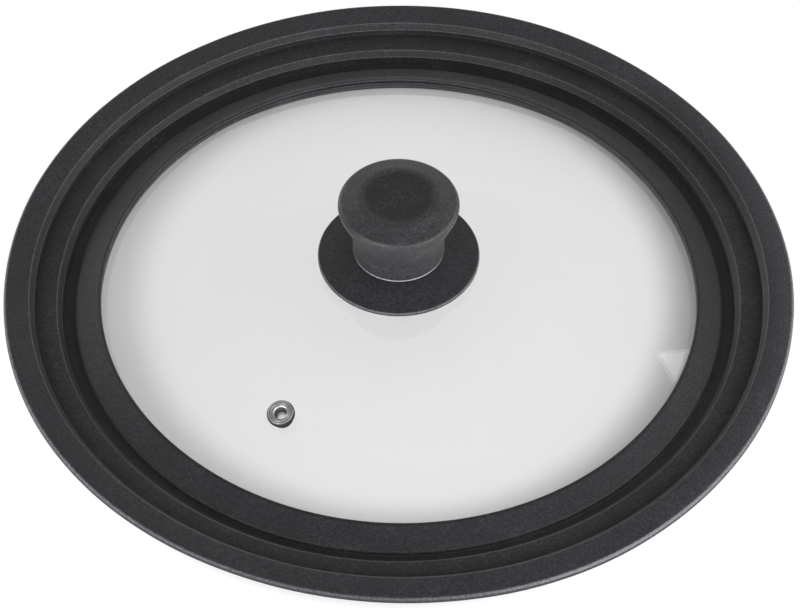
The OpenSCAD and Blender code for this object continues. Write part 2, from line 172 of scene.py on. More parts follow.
under_lip, over_lip = GLASS_IN_R - LOWER_LIP_T, GLASS_TOP_R + UPPER_LIP_T
channel = np.linspace(-np.pi / 2, np.pi / 2, 9)
channel_r = GLASS_T / 2 + GAP
edge_r = GLASS_MID_R * np.sin(EDGE_ANGLE) + channel_r * np.cos(channel - EDGE_ANGLE)
edge_z = DOME_Z + GLASS_MID_R * np.cos(EDGE_ANGLE) + channel_r * np.sin(channel - EDGE_ANGLE)
hump = np.radians([65, 50, 35, 20, 8])
hump_z = dome_z(HUMP_R - 0.8, over_lip) - 1.3
rim_corners = [
    (FLANGE_R, TOP_Z[2], 1.1), (FLANGE_R, UNDER_Z[2], 0.7), (STEP_R[2], UNDER_Z[2], 0.5),
    (STEP_R[2], UNDER_Z[1], 0.6), (STEP_R[1], UNDER_Z[1], 0.5), (STEP_R[1], UNDER_Z[0], 0.6),
    (STEP_R[0], UNDER_Z[0], 0.5), (STEP_R[0], 0, 0.7), (DROP_R, 0, 0.7),
    *on_sphere(under_lip, (DROP_R, 0.6), (LOW_LIP_R, 0.7)),
    *on_sphere(GLASS_IN_R - GAP, (LOW_LIP_R, 0.15), (112.5, 0), (114.5, 0)),
    *[(r, z, 0) for r, z in zip(edge_r, edge_z)],
    *on_sphere(GLASS_TOP_R + GAP, (116, 0), (114, 0), (LIP_R, 0.1)),
    (LIP_R + 0.1, dome_z(LIP_R, over_lip) - CHAMFER_H, 0.15),
    *on_sphere(over_lip, (LIP_R + CHAMFER_W, 0.2), (115, 0), (SEAT_R, 0)),
    *[(HUMP_R - HUMP_ROUND + HUMP_ROUND * np.cos(t), hump_z + HUMP_ROUND * np.sin(t), 0) for t in hump],
    (HUMP_R, TOP_Z[0], 0.5), (WALL_R[0], TOP_Z[0], 0.15),
    (WALL_R[0], TOP_Z[1] - BEVEL_H, 0.25), (WALL_R[0] + BEVEL_W, TOP_Z[1], 0.3),
    (WALL_R[1], TOP_Z[1], 0.15),
    (WALL_R[1], TOP_Z[2] - BEVEL_H, 0.25), (WALL_R[1] + BEVEL_W, TOP_Z[2], 0.35)]


def between(value, low, high):
    """True where value lies above low and below high."""
    return (low < value) & (value < high)


def wear_and_painted_highlight_strength(r, z):
    """How strongly the rubbing and painted highlight of an edge show: by 0.4 inside the flange's edge,
    and there by a trace that rises to 1 on the upper outer corner alone."""
    out = np.clip((r - FLANGE_R + 0.95) / 0.4, 0, 1)
    up = np.clip((z - TOP_Z[2] + 0.95) / 0.4, 0, 1)
    return np.where(r > FLANGE_R - 1.2, 0.05 + 0.95 * out * up, 0.4)


def dust_and_painted_shade(r, z):
    """How much the marks differ from the plain faces, by painted shade: they fall by an exponential of
    the distance to a wall's foot or to the hump, and are low on the walls, the bevels and the lip's
    chamfer. The lip's upright face and the channel that holds the glass get the darkest painted
    shade. Elsewhere they add a trace of dust."""
    darkest, painted_wall_shade, painted_bevel_shade, painted_chamfer_shade = -0.15, -0.065, -0.055, -0.06
    marks = 0.01 - 0.03 * np.exp((r - HUMP_R) / 3) * (r < HUMP_R) * (z > TOP_Z[0])
    for foot_z, top_z, wall_r, depth in zip(TOP_Z, TOP_Z[1:], WALL_R, (0.02, 0.085)):
        bevel_z = top_z - BEVEL_H
        tread = between(z, foot_z - 0.15, foot_z + 0.15) & between(r, wall_r - 9, wall_r)
        wall = between(r, wall_r - 0.6, wall_r + 0.15) & between(z, foot_z - 0.1, bevel_z + 0.1)
        bevel = between(r, wall_r + 0.1, wall_r + BEVEL_W - 0.1) & between(z, bevel_z + 0.05, top_z - 0.05)
        # Painted shade on each tread, darkest at the wall's foot
        marks = np.where(tread, -0.012 - depth * np.exp((r - wall_r) / 3.6), marks)
        marks = np.where(wall, painted_wall_shade, np.where(bevel, painted_bevel_shade, marks))
    over_glass = z - dome_z(np.minimum(r, SEAT_R), GLASS_TOP_R)
    lip = (r < LIP_R + 1.4) & (over_glass > 0)
    marks = np.where(lip, np.where(over_glass < UPPER_LIP_T - 0.3, darkest, painted_chamfer_shade), marks)
    above_inner = z > dome_z(np.minimum(r, SEAT_R), GLASS_IN_R) - 0.1
    held = (r < GLASS_R + 1) & (over_glass < 0.05) & above_inner
    return np.where(held, darkest, marks)


def lobe(a, middle, power):
    """Falls from 1 at the angle middle to 0 opposite it: a power of half of one plus the cosine."""
    return ((1 + np.cos(a - middle)) / 2) ** power


def dust_and_painted_light_by_side(piece):
    """Changes the marks by the way that each point faces round the axis, by lobes: on the flange more
    dust and painted light at the right and darker in front, painted shade on the walls and bevels
    except at the back, lighter in the groove in front, and a painted highlight on the lip's chamfer
    at the back. The flange's edge, its rubbing and painted highlight, is marked more at the front
    right, and less in front and behind."""
    mesh = piece.data
    place = np.empty(3 * len(mesh.vertices), np.float32)
    mark = np.empty(len(mesh.vertices), np.float32)
    mesh.vertices.foreach_get("co", place)
    mesh.attributes["marks_and_painted_light"].data.foreach_get("value", mark)
    x, y, z = place.reshape(-1, 3).T / MM
    r, a = np.hypot(x, y), np.arctan2(y, x)
    # More dust and painted light on the flange at the right, darker in front
    flange = np.clip((r - 139) / 8, 0, 1) * (z > UNDER_Z[2] + 0.5)
    mark += (0.16 * lobe(a, 0.1, 4) - 0.04 * lobe(a, -1.6, 3)) * flange
    for wall_r, foot_z in zip(WALL_R, TOP_Z):
        # Painted shade on the walls and bevels, except at the back
        bevel = between(r, wall_r - 0.25, wall_r + BEVEL_W - 0.35) & (z > foot_z)
        mark -= 0.065 * bevel * (1 - lobe(a, np.pi / 2, 2))
    groove = between(r, HUMP_R, WALL_R[0] - 0.1) & between(z, TOP_Z[0] - 1, TOP_Z[0] + 1)
    mark += 0.03 * groove * lobe(a, -np.pi / 2, 3)
    # A painted highlight on the lip's chamfer at the back
    chamfer = (r < LIP_R + 2.2) & (z > dome_z(np.minimum(r, SEAT_R), GLASS_TOP_R) + UPPER_LIP_T - 0.4)
    mark += 0.26 * chamfer * lobe(a, 1.6, 6)
    # The flange edge's rubbing and painted highlight, strongest at the front right
    painted_edge_highlight_lobe = 0.7 * lobe(a, -0.95, 40) - 0.6 * lobe(a, -1.67, 14) - 0.3 * lobe(a, 1.8, 4)
    mark *= 1 + (r > FLANGE_R - 2) * painted_edge_highlight_lobe
    mesh.attributes["marks_and_painted_light"].data.foreach_set("value", mark)


rim_side = densified(rounded(rim_corners), 1.2)
# Each outline point gets its mark: rubbing and a painted highlight on the edges, painted shade in the
# recesses
r, z, edge_wear_and_painted_highlight = rim_side.T
rim_side[:, 2] = edge_wear_and_painted_highlight * wear_and_painted_highlight_strength(r, z) + dust_and_painted_shade(r, z)
rim = turned("silicone_rim", rim_side, 320, handled, sharp=60)
dust_and_painted_light_by_side(rim)


def node(tree, kind, sets=(), **settings):
    """A shader node of this kind, with its settings, and with its inputs set or linked."""
    made = tree.nodes.new("ShaderNode" + kind)
    for key, value in settings.items():
        setattr(made, key, value)
    for key, value in dict(sets).items():
        if isinstance(value, bpy.types.NodeSocket):
            tree.links.new(value, made.inputs[key])
        else:
            made.inputs[key].default_value = value
    return made


def maths(tree, operation, *values, **settings):
    """The result of this operation on values or sockets."""
    return node(tree, "Math", dict(enumerate(values)), operation=operation, **settings).outputs[0]


def ramp(tree, value, low, high, start=0, end=1, **settings):
    """Goes evenly from start to end while value goes from low to high, and stops at both."""
    ends = {"From Min": low, "From Max": high, "To Min": start, "To Max": end}
    return node(tree, "MapRange", {"Value": value, **ends}, **settings).outputs[0]


def blend(tree, factor, one, other):
    """The colour that lies between two, by a factor from 0 to 1."""
    return node(tree, "Mix", {"Factor": factor, 6: one, 7: other}, data_type="RGBA").outputs[2]


def group(name, inputs, outputs):
    """An empty shader node group with inputs (name, default) and named outputs, all numbers."""
    tree = bpy.data.node_groups.new(name, "ShaderNodeTree")
    for label, default in inputs:
        socket = tree.interface.new_socket(label, in_out="INPUT", socket_type="NodeSocketFloat")
        socket.default_value = default
    for label in outputs:
        tree.interface.new_socket(label, in_out="OUTPUT", socket_type="NodeSocketFloat")
    return tree, tree.nodes.new("NodeGroupInput").outputs, tree.nodes.new("NodeGroupOutput").inputs


def new_finish(name, **plain):
    """A new material, with plain values on its shader's own sockets, and its tree and shader."""
    made = bpy.data.materials.new(name)
    made.use_nodes = True
    shader = made.node_tree.nodes["Principled BSDF"]
    for label, value in plain.items():
        shader.inputs[label.replace("_", " ")].default_value = value
    return made, made.node_tree, shader


def dress(piece, material, slot, body, *nodes):
    """Gives a new piece its material and its body, and hides the nodes it stands for; slot is not used."""
    piece.data.materials.clear()
    piece.data.materials.append(material)
    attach(piece, body)
    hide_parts(*nodes)


# Fine grain of a moulded surface, with dust in soft clouds and curling streaks, which the marks of
# each point change: pale rubbed edges, painted highlights and painted shade. Sizes are in mm; the
# cloud and streak patterns are spread over the specks of the grain.
grain, given, out = group(
    "moulded_grain",
    [("Grain Size", 0.4), ("Cloud Size", 20), ("Streak Size", 6), ("Amount", 0.3), ("Marks And Painted Light", 0)],
    ["Grain", "Dust And Painted Light"])
place = node(grain, "TexCoord").outputs["Object"]
scale = {k: maths(grain, "DIVIDE", 1000, given[k + " Size"]) for k in ("Grain", "Cloud", "Streak")}
fine = node(grain, "TexNoise", {"Vector": place, "Scale": scale["Grain"], "Detail": 3, "Roughness": 0.7})
cloud = node(grain, "TexNoise", {"Vector": place, "Scale": scale["Cloud"], "Detail": 5, "Roughness": 0.62})
streak = node(grain, "TexNoise", {"Vector": place, "Scale": scale["Streak"], "Detail": 4, "Roughness": 0.6,
                                  "Distortion": 1.8})
haze = ramp(grain, cloud.outputs[0], 0.34, 0.68)
band = ramp(grain, streak.outputs[0], 0.4, 0.7, start=0.25)
speck = ramp(grain, fine.outputs[0], 0.38, 0.64)
spread = maths(grain, "MULTIPLY", haze, band)
even = maths(grain, "MULTIPLY_ADD", speck, 0.5, 0.25)
dust = maths(grain, "MULTIPLY_ADD", spread, speck, even)
dust = maths(grain, "MULTIPLY", dust, given["Amount"])
edge = maths(grain, "MULTIPLY", given["Marks And Painted Light"], ramp(grain, speck, 0, 1, start=0.5))
grain.links.new(fine.outputs[0], out["Grain"])
grain.links.new(maths(grain, "ADD", dust, edge, use_clamp=True), out["Dust And Painted Light"])


def dusted(tree, shader, darkest, dust_and_painted_highlight_colour, rough, bump, sizes, amount):
    """Puts the grain group in: dust, changed by each point's marks of rubbing, painted highlight and
    painted shade, lightens the colour from the darkest to the pale one and dulls it from the first
    roughness to the second, and the grain gives the bump, of (strength, height in mm)."""
    mark = node(tree, "Group", node_tree=grain)
    for label, value in zip(("Grain", "Cloud", "Streak"), sizes):
        mark.inputs[label + " Size"].default_value = value
    mark.inputs["Amount"].default_value = amount
    tree.links.new(node(tree, "Attribute", attribute_name="marks_and_painted_light").outputs["Fac"], mark.inputs["Marks And Painted Light"])
    strength, height = bump
    sets = {"Height": mark.outputs["Grain"], "Strength": strength, "Distance": height * MM}
    relief = node(tree, "Bump", sets)
    tree.links.new(blend(tree, mark.outputs["Dust And Painted Light"], darkest, dust_and_painted_highlight_colour), shader.inputs["Base Color"])
    tree.links.new(ramp(tree, mark.outputs["Dust And Painted Light"], 0, 1, *rough), shader.inputs["Roughness"])
    tree.links.new(relief.outputs[0], shader.inputs["Normal"])


silicone, tree, shader = new_finish(
    "rim_silicone", Specular_IOR_Level=0.4, Sheen_Weight=0.12, Sheen_Roughness=0.4)
dusted(tree, shader, darkest=(0.009, 0.009, 0.0103, 1), dust_and_painted_highlight_colour=(0.24, 0.24, 0.266, 1),
       rough=(0.5, 0.7), bump=(0.4, 0.3), sizes=(0.9, 22, 5), amount=0.15)
dress(rim, silicone, "rim_silicone", "lid", "rim_seal")

# ---- Glass --------------------------------------------------------------------------
# Pressed soda-lime glass, 4 mm thick, ground to a half-round edge, drilled for the knob's
# screw and for the vent, and then tempered, which leaves it very slightly wavy.
VENT_HOLE_R, VENT_R = 3.3, 80.5
VENT_AZIMUTH, VENT_TILT = np.radians(-122), np.arcsin(VENT_R / GLASS_TOP_R)
ROWS, TURNS, HALF_BLOCK = 64, 320, 5


def direction(fall, turn):
    """Unit vector that leans by the angle fall from +z, towards the angle turn round it."""
    upright = np.cos(fall) + 0 * turn
    return np.stack([np.sin(fall) * np.cos(turn), np.sin(fall) * np.sin(turn), upright], -1)


vent_out = direction(VENT_TILT, VENT_AZIMUTH)
vent_along = np.array([-np.sin(VENT_AZIMUTH), np.cos(VENT_AZIMUTH), 0])
vent_down = np.cross(vent_along, vent_out)


def glass_directions():
    """Unit directions, from the dome's centre, of a polar grid, in which a block of cells round
    the vent gives way to rings that lead from the block's border to the round vent hole.
    Returns the directions, the faces, the borders of both holes and the outer border."""
    fall = np.linspace(np.arcsin(SCREW_HOLE_R / GLASS_TOP_R), EDGE_ANGLE, ROWS)
    turn = VENT_AZIMUTH + (np.arange(TURNS) - HALF_BLOCK) * 2 * np.pi / TURNS
    sheet = direction(fall[:, None], turn[None]).reshape(-1, 3)
    index = np.arange(ROWS * TURNS).reshape(ROWS, TURNS)
    i, j = np.meshgrid(np.arange(ROWS - 1), np.arange(TURNS), indexing="ij")
    right = (j + 1) % TURNS
    quads = np.stack([index[i, j], index[i + 1, j], index[i + 1, right], index[i, right]], -1)
    n = 2 * HALF_BLOCK
    low = np.abs(fall - VENT_TILT).argmin() - HALF_BLOCK
    high = low + n
    kept = np.ones((ROWS - 1, TURNS), bool)
    kept[low:high, :n] = False
    border = np.concatenate([index[low, :n], index[low:high, n], index[high, n:0:-1], index[high:low:-1, 0]])
    flat = np.stack([sheet[border] @ vent_down, sheet[border] @ vent_along], -1)
    hole = flat / np.linalg.norm(flat, axis=1, keepdims=True) * VENT_HOLE_R / GLASS_TOP_R
    t = np.linspace(0, 1, 9)[1:, None, None]
    flat = (1 - t) * flat + t * hole
    lift = np.sqrt(1 - (flat**2).sum(-1, keepdims=True))
    rings = flat[..., :1] * vent_down + flat[..., 1:] * vent_along + lift * vent_out
    rings = rings.reshape(-1, 3)
    loops = np.vstack([border, len(sheet) + np.arange(len(rings)).reshape(-1, len(border))])
    near, far = loops[:-1], loops[1:]
    patch = np.stack([near, far, np.roll(far, -1, 1), np.roll(near, -1, 1)], -1).reshape(-1, 4)
    faces = np.vstack([quads[kept], patch])
    return np.vstack([sheet, rings]), faces, index[0], loops[-1], index[-1]


def strip(a, b):
    """Quads between two closed loops of as many vertices."""
    return np.stack([a, b, np.roll(b, -1), np.roll(a, -1)], -1)


directions, sheet_faces, screw_loop, vent_loop, edge_loop = glass_directions()
count = len(directions)
centre = np.array([0, 0, DOME_Z])
round_edge = np.linspace(0, np.pi, 10)[1:-1, None, None]
outward = directions[edge_loop]
level = outward * [1, 1, 0] / np.linalg.norm(outward[:, :2], axis=1)[:, None]
down = level * np.cos(EDGE_ANGLE) - np.array([0, 0, np.sin(EDGE_ANGLE)])
# A half circle round the middle of the thickness leads from the outer face to the inner one
half_t = GLASS_T / 2
edge_rings = (GLASS_MID_R + half_t * np.cos(round_edge)) * outward + half_t * np.sin(round_edge) * down
edge_points = edge_rings.reshape(-1, 3)
edge_index = 2 * count + np.arange(len(edge_points)).reshape(-1, TURNS)
glass_points = centre + np.vstack([directions * GLASS_TOP_R, directions * GLASS_IN_R, edge_points])
rings = [edge_loop, *edge_index, edge_loop + count]
glass_faces = np.vstack([
    sheet_faces, sheet_faces[:, ::-1] + count, strip(screw_loop, screw_loop + count)[:, ::-1],
    strip(vent_loop, vent_loop + count)[:, ::-1], *[strip(a, b) for a, b in zip(rings, rings[1:])]])
used, glass_faces = np.unique(glass_faces, return_inverse=True)
glass = surface("glass_dome_pressed", glass_points[used], glass_faces.reshape(-1, 4).tolist())

clear, tree, shader = new_finish(
    "clear_glass", Transmission_Weight=1, IOR=1.5, Roughness=0, Metallic=0,
    Base_Color=(0.965, 0.968, 0.972, 1))
place = node(tree, "TexCoord").outputs["Object"]
wave = node(tree, "TexNoise", {"Vector": place, "Scale": 28, "Detail": 1})
ripple = node(tree, "Bump", {"Height": wave.outputs[0], "Strength": 0.15, "Distance": 0.1 * MM})
tree.links.new(ripple.outputs[0], shader.inputs["Normal"])
# The glass dims the light that passes through it to the table, and throws no darker shadow
lamp_light = node(tree, "BsdfTransparent", {"Color": (0.87, 0.872, 0.876, 1)})
shadow = node(tree, "LightPath").outputs["Is Shadow Ray"]
either = node(tree, "MixShader", {0: shadow, 1: shader.outputs[0], 2: lamp_light.outputs[0]})
tree.links.new(either.outputs[0], tree.nodes["Material Output"].inputs[0])
dress(glass, clear, "clear_glass", "lid", "glass_dome")

# ---- Base disc ----------------------------------------------------------------------
# The nylon disc under the knob: crowned, thin at its edge, with a flat hub and the ring
# that centres the knob. It is moulded, and the knob's screw clamps it down over a gasket.
SCREW_PASS_R, DISC_R, DISC_T, DISC_GAP = 2.8, 30, 1.4, 0.35
HUB_R, HUB_T, HUB_STEP, GASKET_UNDER_HUB = 16.2, 2, 0.5, 1
SPIGOT_R, SPIGOT_T, SPIGOT_H = 12.8, 1.8, 1.2
HUB_UNDER_Z = DOME_Z + GLASS_TOP_R + GASKET_UNDER_HUB
FOOT_Z = HUB_UNDER_Z + HUB_T
hub_edge = np.array([HUB_R, FOOT_Z - HUB_STEP])
disc_edge = np.array([DISC_R, dome_z(DISC_R, GLASS_TOP_R) + DISC_GAP + DISC_T])
CROWN_Z = (disc_edge @ disc_edge - hub_edge @ hub_edge) / 2 / (disc_edge - hub_edge)[1]
CROWN_R = np.hypot(HUB_R, hub_edge[1] - CROWN_Z)


def crown(radii, inset, round_r=0.0):
    """Outline corners (r, z, rounding) on the crown's sphere, whose radius is less by inset."""
    return [(r, CROWN_Z + np.sqrt((CROWN_R - inset)**2 - r**2), round_r) for r in radii]


disc_corners = [
    (SCREW_PASS_R, HUB_UNDER_Z, 0.2), (HUB_R, HUB_UNDER_Z, 0), *crown([17, 20, 23, 26, 28.5], DISC_T),
    *crown([DISC_R], DISC_T, 0.3), *crown([DISC_R], 0, 0.5), *crown([28.5, 26, 23, 20, 18], 0),
    (*hub_edge, 0.25), (HUB_R, FOOT_Z, 0.2), (SPIGOT_R, FOOT_Z, 0.15),
    (SPIGOT_R, FOOT_Z + SPIGOT_H, 0.4), (SPIGOT_R - SPIGOT_T, FOOT_Z + SPIGOT_H, 0.4),
    (SPIGOT_R - SPIGOT_T, FOOT_Z, 0.3), (SCREW_PASS_R, FOOT_Z, 0.3)]
disc = turned("base_disc", densified(rounded(disc_corners), 1), 256)
nylon, tree, shader = new_finish("black_nylon", Specular_IOR_Level=0.4)
dusted(tree, shader, darkest=(0.009, 0.009, 0.0103, 1), dust_and_painted_highlight_colour=(0.16, 0.16, 0.176, 1),
       rough=(0.5, 0.7), bump=(0.4, 0.3), sizes=(0.9, 9, 3), amount=0.24)
dress(disc, nylon, "black_nylon", "lid", "knob_skirt")

# ---- Knob ---------------------------------------------------------------------------
# A nylon core in a soft skin, 1.5 mm thick, that is moulded over it: a straight stem flares
# into a wide cap with a sloping shoulder and a shallow dish, to be lifted with oven gloves.
STEM_R, CAP_R, KNOB_H, SKIN_T, SKIN_GAP = 17, 22.4, 28.4, 1.5, 0.3
FLARE_H, CAP_EDGE_R, SHOULDER, DISH_R, DISH_DEPTH = 5.8, 2.2, np.radians(20), 14, 0.5
CAP_H = (KNOB_H - CAP_EDGE_R * np.cos(SHOULDER)
         - (CAP_R - CAP_EDGE_R + CAP_EDGE_R * np.sin(SHOULDER) - DISH_R) * np.tan(SHOULDER))


def knob_side(inset):
    """Half outline of the knob from the stem's foot to the middle of the top, moved in by inset:
    a cubic curve leaves the stem upright and reaches the cap upright, an arc goes round the
    cap's edge, and a straight shoulder rises to the soft ring round the dish."""
    stem, cap = STEM_R - inset, CAP_R - inset
    round_r, top = max(CAP_EDGE_R - inset, 0.2), KNOB_H - inset
    low = np.linspace([stem, SKIN_GAP + 1.2], [stem, FLARE_H - 1], 4)
    t = np.linspace(0, 1, 32)[:, None]
    pull = np.array([[stem, FLARE_H], [stem, FLARE_H + 7], [cap, CAP_H - 2], [cap, CAP_H]])
    shares = (1 - t)**3, 3 * (1 - t)**2 * t, 3 * (1 - t) * t**2, t**3
    flare = sum(share * point for share, point in zip(shares, pull))
    a = np.linspace(np.radians(8), np.pi / 2 - SHOULDER, 10)
    edge = np.stack([cap - round_r + round_r * np.cos(a), CAP_H + round_r * np.sin(a)], -1)
    ring = [(DISH_R + 0.3, top - 0.1, 4), (DISH_R - 2.6, top - DISH_DEPTH, 4), (0, top - DISH_DEPTH, 0)]
    over = rounded([(*edge[-1], 0), *ring, (0, CAP_H, 0)], 8)[:, :2]
    over = over[over[:, 1] > CAP_H + 0.5]
    return np.vstack([low, flare, edge, over])


outside, inside = knob_side(0), knob_side(SKIN_T - 0.02)
# The foot's rounded edge is marked up to 1.3, for a painted highlight along it
foot_side = [
    (STEM_R - SKIN_T + 0.02, SKIN_GAP, 0), (STEM_R - 0.6, SKIN_GAP, 0),
    (STEM_R - 0.35, SKIN_GAP + 0.03, 1), (STEM_R - 0.1, SKIN_GAP + 0.2, 1.3),
    (STEM_R, SKIN_GAP + 0.65, 1.3), (STEM_R, SKIN_GAP + 0.9, 0)]
whole = np.vstack([outside, inside[::-1]])
# The dish is darker, by painted shade
painted_dish_shade = -0.055 * np.clip((DISH_R - 0.5 - whole[:, 0]) / 1.5, 0, 1) * (whole[:, 1] > KNOB_H - 1)
knob_outline = np.vstack([foot_side, np.column_stack([whole, painted_dish_shade])]) + [0, FOOT_Z, 0]
knob = turned("knob_soft_skin", knob_outline, 256)
skin, tree, shader = new_finish(
    "soft_skin", Specular_IOR_Level=0.45, Sheen_Weight=0.15, Sheen_Roughness=0.35)
dusted(tree, shader, darkest=(0.016, 0.016, 0.0175, 1), dust_and_painted_highlight_colour=(0.62, 0.62, 0.665, 1),
       rough=(0.4, 0.62), bump=(0.35, 0.3), sizes=(0.9, 8, 4), amount=0.09)
dress(knob, skin, "soft_skin", "knob", "knob_grip")

# ---- Vent ---------------------------------------------------------------------------
# A drawn steel eyelet with beads round its mouth goes through the glass on a silicone gasket
# with a sleeve, and its end is rolled out below over a second gasket and a steel washer.
# Heights are measured from the glass's outer face, along the vent's own axis.
TUBE_R, BORE_R, FLANGE_EDGE_R, COLLAR_R, ROLLED_R, WASHER_R = 2.5, 1.7, 4.85, 5.15, 3.4, 4
FACE_Z, GASKET_T, BACK_Z, LEAF_T, ROLLED_T = 2.0, 1.4, -4.03, 0.4, 0.6
BEADS, BEAD_W, MOUTH_R, MOUTH_ROUND = ((4.4, 0.1), (3.6, 0.16)), 0.22, 3.1, 0.85
FUNNEL_R, FUNNEL_H, THROAT_H = 2.05, 2.2, 3
rolled_top_z, rolled_end_z = BACK_Z - 2 * LEAF_T, BACK_Z - 2 * LEAF_T - ROLLED_T
a = np.linspace(0, np.pi, 13)
b = np.linspace(0, np.pi / 2, 9)
beads = [(middle_r + BEAD_W * c, FACE_Z + high * s, 0)
         for middle_r, high in BEADS for c, s in zip(np.cos(a), np.sin(a))]
mouth = [(MOUTH_R - MOUTH_ROUND * s, FACE_Z - MOUTH_ROUND * (1 - c), 0)
         for c, s in zip(np.cos(b), np.sin(b))]
eyelet_corners = [
    (BORE_R, rolled_end_z, 0.4), (ROLLED_R, rolled_end_z, 0.25), (ROLLED_R, rolled_top_z, 0.2),
    (TUBE_R, rolled_top_z, 0.05), (TUBE_R, GASKET_T, 0.05), (FLANGE_EDGE_R, GASKET_T, 0.1),
    (FLANGE_EDGE_R, FACE_Z - 0.05, 0.15), *beads, *mouth,
    (FUNNEL_R, FACE_Z - FUNNEL_H, 0.4), (BORE_R, FACE_Z - THROAT_H, 0.4)]


def at_vent(grid):
    """Sets a grid turned about +z down on the glass at the vent: x goes down the dome, y along
    it, and z outwards from its outer face."""
    x, y, z = grid[..., :1], grid[..., 1:2], grid[..., 2:]
    return centre + x * vent_down + y * vent_along + (GLASS_TOP_R + z) * vent_out


def vent_piece(name, corners):
    """A rounded outline turned about the vent's own axis; each corner is (r, z, rounding)."""
    return turned(name, densified(rounded(corners, 6), 0.5), 96, at_vent)


def leaf(name, top_z, upper_round):
    """A flat ring round the tube, between two heights one leaf apart, with a hair's room to each."""
    low_z, high_z = top_z - LEAF_T + 0.01, top_z - 0.01
    return vent_piece(name, [(TUBE_R + 0.1, low_z, 0.1), (WASHER_R, low_z, 0.15),
                             (WASHER_R, high_z, upper_round), (TUBE_R + 0.1, high_z, 0.1)])


def dark_grooves_and_painted_shade(r, z):
    """How dark the eyelet is: darker in the grooves beside both beads, by bell curves, with a painted
    dark reflection on the flange's outer edge and painted shade in the tube below the mouth."""
    grooves = np.exp(-((r - 4) / 0.16) ** 2) + 0.7 * np.exp(-((r - 3.3) / 0.1) ** 2)
    edge = 0.8 * np.clip((r - 4.6) / 0.2, 0, 1)
    tube = 0.75 * (r < 2.3) * between(z, -3, FACE_Z - 0.7)
    return (grooves + edge) * (z > GASKET_T + 0.2) + tube


steel, tree, shader = new_finish("stainless_steel", Metallic=1)
place = node(tree, "TexCoord").outputs["Object"]
brush = node(tree, "TexNoise", {"Vector": place, "Scale": 900, "Detail": 2, "Roughness": 0.6})
stain = node(tree, "TexNoise", {"Vector": place, "Scale": 240, "Detail": 3})
relief = node(tree, "Bump", {"Height": brush.outputs[0], "Strength": 0.05, "Distance": 0.015 * MM})
mark = node(tree, "Attribute", attribute_name="marks_and_painted_light").outputs["Fac"]
tone = blend(tree, stain.outputs[0], (0.62, 0.615, 0.61, 1), (0.76, 0.76, 0.76, 1))
# Negative marks darken the steel: in its grooves, with painted shade in the tube and a painted dark
# reflection on the flange's edge
tone = blend(tree, ramp(tree, mark, 0, -1), tone, (0.16, 0.155, 0.15, 1))
tree.links.new(tone, shader.inputs["Base Color"])
tree.links.new(ramp(tree, brush.outputs[0], 0, 1, 0.26, 0.4), shader.inputs["Roughness"])
tree.links.new(relief.outputs[0], shader.inputs["Normal"])
gasket_rubber, tree, shader = new_finish("gasket_silicone", Specular_IOR_Level=0.25)
dusted(tree, shader, darkest=(0.008, 0.008, 0.008, 1), dust_and_painted_highlight_colour=(0.03, 0.03, 0.03, 1),
       rough=(0.4, 0.6), bump=(0.2, 0.1), sizes=(0.4, 6, 2), amount=0.5)

eyelet_side = densified(rounded(eyelet_corners, 6), 0.25)
eyelet_side[:, 2] = -dark_grooves_and_painted_shade(*eyelet_side.T[:2])
eyelet = turned("vent_eyelet_steel", eyelet_side, 96, at_vent)
dress(eyelet, steel, "stainless_steel", "lid", "vent_eyelet")
top_gasket = vent_piece("vent_gasket_top", [
    (TUBE_R + 0.05, -GLASS_T, 0.1), (VENT_HOLE_R - 0.1, -GLASS_T, 0.1), (VENT_HOLE_R - 0.1, 0.02, 0.02),
    (COLLAR_R, 0.02, 0.4), (COLLAR_R, GASKET_T + 0.1, 0.1), (FLANGE_EDGE_R + 0.04, GASKET_T + 0.1, 0.04),
    (FLANGE_EDGE_R + 0.04, GASKET_T - 0.01, 0), (TUBE_R + 0.05, GASKET_T - 0.01, 0.1)])
dress(top_gasket, gasket_rubber, "gasket_silicone", "lid", "vent_gasket")
low_gasket = leaf("vent_gasket_below", BACK_Z, 0.15)
dress(low_gasket, gasket_rubber, "gasket_silicone", "lid", "vent_under_gasket")
back_washer = leaf("vent_washer", BACK_Z - LEAF_T, 0.1)
dress(back_washer, steel, "stainless_steel", "lid", "vent_back_washer")

# ---- Screw and washers --------------------------------------------------------------
# An M5 pan-head screw with a cross recess comes up from below through a spring washer, a flat
# washer and a silicone bush, and pulls the brass insert in the knob down on the base disc.
PITCH, THREAD_DEPTH = 0.8, 0.42
SCREW_R, HEAD_R, HEAD_H, HEAD_ROUND = 2.5, 4.75, 3.2, 1.6
HEAD_TOP_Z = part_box("spring_washer")[0][2] / MM
TIP_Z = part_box("knob_screw")[1][2] / MM
RECESS_DEPTH, RECESS_R, RECESS_W = 2.0, 2.5, 1.1


def screwed(grid):
    """The thread is cut into the shank: the radius drops by a wave of height less angle, so that
    it climbs one pitch a turn. The cross is sunk into the head's underside, as deep as each
    point lies inside its arms."""
    x, y, z = np.moveaxis(grid, -1, 0)
    r, a = np.hypot(x, y), np.arctan2(y, x)
    wave = np.clip(2.6 * np.abs((z / PITCH - a / (2 * np.pi)) % 1 - 0.5) - 0.15, 0, 1)
    cut = THREAD_DEPTH * wave * np.clip((z - HEAD_TOP_Z - 2.4) / PITCH, 0, 1) * (r > SCREW_R - 0.7)
    along, aside = np.maximum(np.abs(x), np.abs(y)), np.minimum(np.abs(x), np.abs(y))
    inside = np.clip(np.minimum((RECESS_R - along) * 3, (RECESS_W / 2 - aside) * 8), 0, 1)
    sunk = RECESS_DEPTH * inside * (1 - 0.35 * along / RECESS_R) * (z < HEAD_TOP_Z - HEAD_H + 1)
    return np.stack([(r - cut) * np.cos(a), (r - cut) * np.sin(a), z + sunk], -1)


